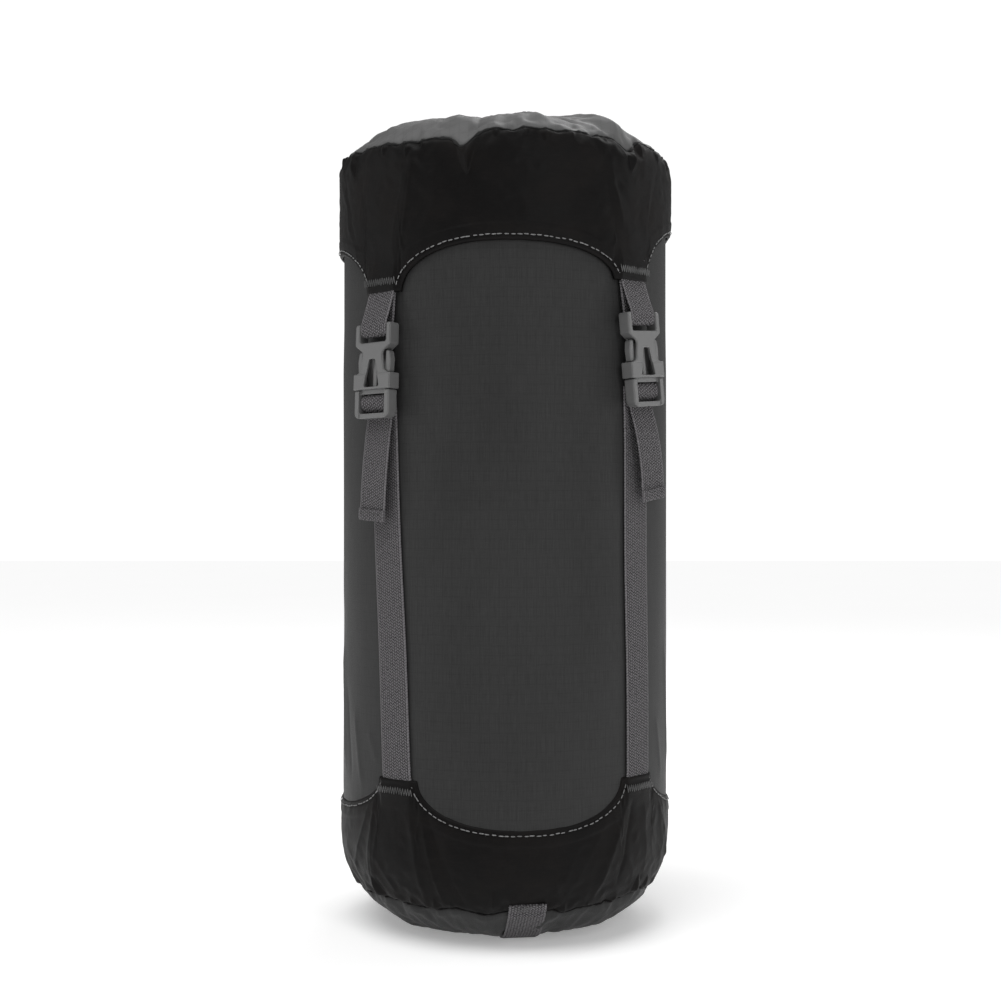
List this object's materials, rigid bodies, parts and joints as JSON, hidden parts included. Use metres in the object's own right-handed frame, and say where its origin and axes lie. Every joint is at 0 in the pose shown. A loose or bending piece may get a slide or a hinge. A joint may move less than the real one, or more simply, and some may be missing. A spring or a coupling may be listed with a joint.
{
  "type": "compression sack",
  "caption": "Round fabric stuff sack with a separate lid, pulled down over its drawcord mouth by four webbing straps with side-release buckles.",
  "frame": {"origin": "centre of the base, on the surface that the sack stands on", "axes": "+Z along the sack's axis towards the lid; the front, with the grab handle's sewn end between two straps, is -Y"},
  "size_m": [0.182, 0.182, 0.436],
  "materials": {
    "ripstop": "dark grey coated ripstop, slight sheen",
    "cuff_fabric": "black plain-weave nylon",
    "lid_fabric": "grey coated nylon, smooth sheen",
    "webbing": "mid-grey flat woven webbing",
    "thread": "grey bonded thread",
    "cord": "black braided cord",
    "buckle_plastic": "moulded mid-grey acetal, fine matt grain",
    "lock_plastic": "moulded black plastic",
    "spring_steel": "drawn wire"
  },
  "bodies": {
    "sack": {"base_panel": "ripstop", "base_cuff": "cuff_fabric", "base_seam_binding": "cuff_fabric", "base_bartacks": "thread", "base_handle": "webbing", "handle_bartacks": "thread", "body_tube": "ripstop", "body_seam": "ripstop", "strap_run_front_left": "webbing", "strap_run_front_right": "webbing", "strap_run_rear_right": "webbing", "strap_run_rear_left": "webbing"},
    "collar": {"mouth_collar": "ripstop", "cord_channel": "ripstop", "drawcord": "cord", "drawcord_knot": "cord"},
    "cord_lock": {"cord_lock_barrel": "lock_plastic", "cord_lock_spring": "spring_steel"},
    "lock_plunger": {"cord_lock_plunger": "lock_plastic"},
    "lid": {"lid_panel": "lid_fabric", "lid_cuff": "cuff_fabric", "lid_seam_binding": "cuff_fabric", "lid_bartacks": "thread", "anchor_loop_front_left": "webbing", "buckle_socket_front_left": "buckle_plastic", "anchor_loop_front_right": "webbing", "buckle_socket_front_right": "buckle_plastic", "anchor_loop_rear_right": "webbing", "buckle_socket_rear_right": "buckle_plastic", "anchor_loop_rear_left": "webbing", "buckle_socket_rear_left": "buckle_plastic"},
    "plug_front_left": {"buckle_plug_front_left": "buckle_plastic", "strap_tail_front_left": "webbing"},
    "prong_left_front_left_arm": {"prong_left_front_left": "buckle_plastic"},
    "prong_right_front_left_arm": {"prong_right_front_left": "buckle_plastic"},
    "plug_front_right": {"buckle_plug_front_right": "buckle_plastic", "strap_tail_front_right": "webbing"},
    "prong_left_front_right_arm": {"prong_left_front_right": "buckle_plastic"},
    "prong_right_front_right_arm": {"prong_right_front_right": "buckle_plastic"},
    "plug_rear_right": {"buckle_plug_rear_right": "buckle_plastic", "strap_tail_rear_right": "webbing"},
    "prong_left_rear_right_arm": {"prong_left_rear_right": "buckle_plastic"},
    "prong_right_rear_right_arm": {"prong_right_rear_right": "buckle_plastic"},
    "plug_rear_left": {"buckle_plug_rear_left": "buckle_plastic", "strap_tail_rear_left": "webbing"},
    "prong_left_rear_left_arm": {"prong_left_rear_left": "buckle_plastic"},
    "prong_right_rear_left_arm": {"prong_right_rear_left": "buckle_plastic"}
  },
  "joints": [
    {"name": "compress", "type": "slide", "parent": "sack", "child": "collar", "axis": [0, 0, -1], "range_m": [0, 0.14], "deforming": ["body_tube", "body_seam", "strap_run_front_left", "strap_run_front_right", "strap_run_rear_right", "strap_run_rear_left"]},
    {"name": "lid_lift", "type": "slide", "parent": "collar", "child": "lid", "axis": [0, 0, 1], "range_m": [0, 0.13]},
    {"name": "cord_lock_slide", "type": "slide", "parent": "collar", "child": "cord_lock", "axis": [0, -1, 0], "range_m": [0, 0.02]},
    {"name": "plunger_press", "type": "slide", "parent": "cord_lock", "child": "lock_plunger", "axis": [-1, 0, 0], "range_m": [0, 0.004], "stiffness_N_per_m": 150, "springref_m": -0.002, "deforming": ["cord_lock_spring"]},
    {"name": "release_front_left", "type": "slide", "parent": "collar", "child": "plug_front_left", "axis": [-0.0242, -0.0251, -0.9994], "range_m": [0, 0.0205], "deforming": ["prong_left_front_left", "prong_right_front_left"]},
    {"name": "press_left_front_left", "type": "hinge", "parent": "plug_front_left", "child": "prong_left_front_left_arm", "pos_m": [-0.07147, -0.06221, 0.28401], "axis": [0.6942, 0.7189, -0.0349], "range_deg": [0, 12], "stiffness_Nm_per_rad": 0.02},
    {"name": "press_right_front_left", "type": "hinge", "parent": "plug_front_left", "child": "prong_right_front_left_arm", "pos_m": [-0.05967, -0.0736, 0.28401], "axis": [-0.6942, -0.7189, 0.0349], "range_deg": [0, 12], "stiffness_Nm_per_rad": 0.02},
    {"name": "release_front_right", "type": "slide", "parent": "collar", "child": "plug_front_right", "axis": [0.084, 0.0418, -0.9956], "range_m": [0, 0.0205], "deforming": ["prong_left_front_right", "prong_right_front_right"]},
    {"name": "press_left_front_right", "type": "hinge", "parent": "plug_front_right", "child": "prong_left_front_right_arm", "pos_m": [0.06547, -0.06844, 0.28982], "axis": [-0.7454, 0.6658, -0.0349], "range_deg": [0, 12], "stiffness_Nm_per_rad": 0.02},
    {"name": "press_right_front_right", "type": "hinge", "parent": "plug_front_right", "child": "prong_right_front_right_arm", "pos_m": [0.07632, -0.05622, 0.29125], "axis": [0.7454, -0.6658, 0.0349], "range_deg": [0, 12], "stiffness_Nm_per_rad": 0.02},
    {"name": "release_rear_right", "type": "slide", "parent": "collar", "child": "plug_rear_right", "axis": [0.0049, 0.0433, -0.999], "range_m": [0, 0.0205], "deforming": ["prong_left_rear_right", "prong_right_rear_right"]},
    {"name": "press_left_rear_right", "type": "hinge", "parent": "plug_rear_right", "child": "prong_left_rear_right_arm", "pos_m": [0.07058, 0.0632, 0.28579], "axis": [-0.6858, -0.727, -0.0349], "range_deg": [0, 12], "stiffness_Nm_per_rad": 0.02},
    {"name": "press_right_rear_right", "type": "hinge", "parent": "plug_rear_right", "child": "prong_right_rear_right_arm", "pos_m": [0.05865, 0.07444, 0.28622], "axis": [0.6858, 0.727, 0.0349], "range_deg": [0, 12], "stiffness_Nm_per_rad": 0.02},
    {"name": "release_rear_left", "type": "slide", "parent": "collar", "child": "plug_rear_left", "axis": [-0.0001, 0.0493, -0.9988], "range_m": [0, 0.0205], "deforming": ["prong_left_rear_left", "prong_right_rear_left"]},
    {"name": "press_left_rear_left", "type": "hinge", "parent": "plug_rear_left", "child": "prong_left_rear_left_arm", "pos_m": [-0.06087, 0.07263, 0.2888], "axis": [0.708, -0.7053, -0.0349], "range_deg": [0, 12], "stiffness_Nm_per_rad": 0.02},
    {"name": "press_right_rear_left", "type": "hinge", "parent": "plug_rear_left", "child": "prong_right_rear_left_arm", "pos_m": [-0.07246, 0.06103, 0.28822], "axis": [-0.708, 0.7053, 0.0349], "range_deg": [0, 12], "stiffness_Nm_per_rad": 0.02}
  ],
  "couplings": [
    {"joint": "press_right_front_left", "follows": "press_left_front_left", "ratio": 1},
    {"joint": "press_right_front_right", "follows": "press_left_front_right", "ratio": 1},
    {"joint": "press_right_rear_right", "follows": "press_left_rear_right", "ratio": 1},
    {"joint": "press_right_rear_left", "follows": "press_left_rear_left", "ratio": 1}
  ]
}
